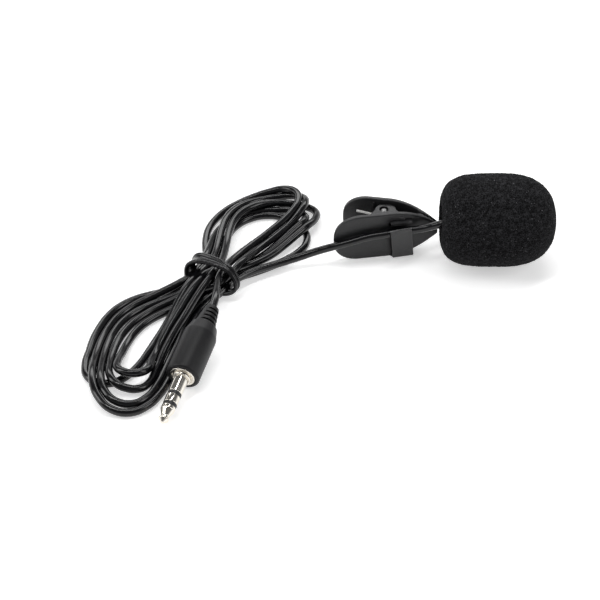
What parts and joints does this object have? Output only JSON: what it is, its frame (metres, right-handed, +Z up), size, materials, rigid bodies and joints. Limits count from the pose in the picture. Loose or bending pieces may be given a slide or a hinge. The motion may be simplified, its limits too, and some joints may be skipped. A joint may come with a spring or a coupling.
{
  "type": "lavalier microphone",
  "caption": "Clip-on lavalier microphone in a foam windscreen, with a sprung garment clip, a thin cord folded into a tied hank and a straight jack plug.",
  "frame": {"origin": "on the resting plane, under the middle of the windscreen and clip taken together", "axes": "+X along the microphone from the clip to the windscreen's nose, +Y towards the clip's rear jaw, +Z up"},
  "size_m": [0.1193, 0.0928, 0.0237],
  "materials": {
    "foam": "open-cell foam, matt",
    "black_plastic": "moulded, satin",
    "black_rubber": "soft moulded, satin",
    "cord_jacket": "smooth, glossy",
    "felt": "pressed felt",
    "steel": "bright drawn wire",
    "plug_nickel": "polished plating",
    "bare_aluminium": "drawn can",
    "contact_brass": "plain",
    "board": "solder mask",
    "pale_plastic": "moulded"
  },
  "bodies": {
    "microphone": {"mic_housing": "black_plastic", "front_grille": "black_plastic", "dust_felt": "felt", "capsule_can": "bare_aluminium", "diaphragm_ring": "contact_brass", "backplate": "contact_brass", "capsule_carrier": "pale_plastic", "amplifier_board": "board", "capsule_sleeve": "black_rubber", "mic_strain_relief": "black_rubber", "front_jaw": "black_plastic", "cable_retainer": "black_plastic", "pivot_pin": "steel", "torsion_spring": "steel", "cord_hank": "cord_jacket", "hank_tie": "black_plastic", "plug_overmould": "black_rubber", "plug_sleeve": "plug_nickel", "rear_insulator": "black_plastic", "ring_contact": "plug_nickel", "front_insulator": "black_plastic", "tip_contact": "plug_nickel", "lead_cord": "cord_jacket", "plug_lead": "cord_jacket"},
    "rear_jaw": {"rear_jaw": "black_plastic"},
    "windscreen": {"foam_windscreen": "foam"}
  },
  "joints": [
    {"name": "jaw_hinge", "type": "hinge", "parent": "microphone", "child": "rear_jaw", "pos_m": [-0.0154, 0.0039, 0], "axis": [0, 0, 1], "range_deg": [0, 25], "stiffness_Nm_per_rad": 0.012, "springref_deg": -28.65, "deforming": ["torsion_spring"]},
    {"name": "windscreen_slide", "type": "slide", "parent": "microphone", "child": "windscreen", "axis": [1, 0, 0], "range_m": [0, 0.025]}
  ]
}
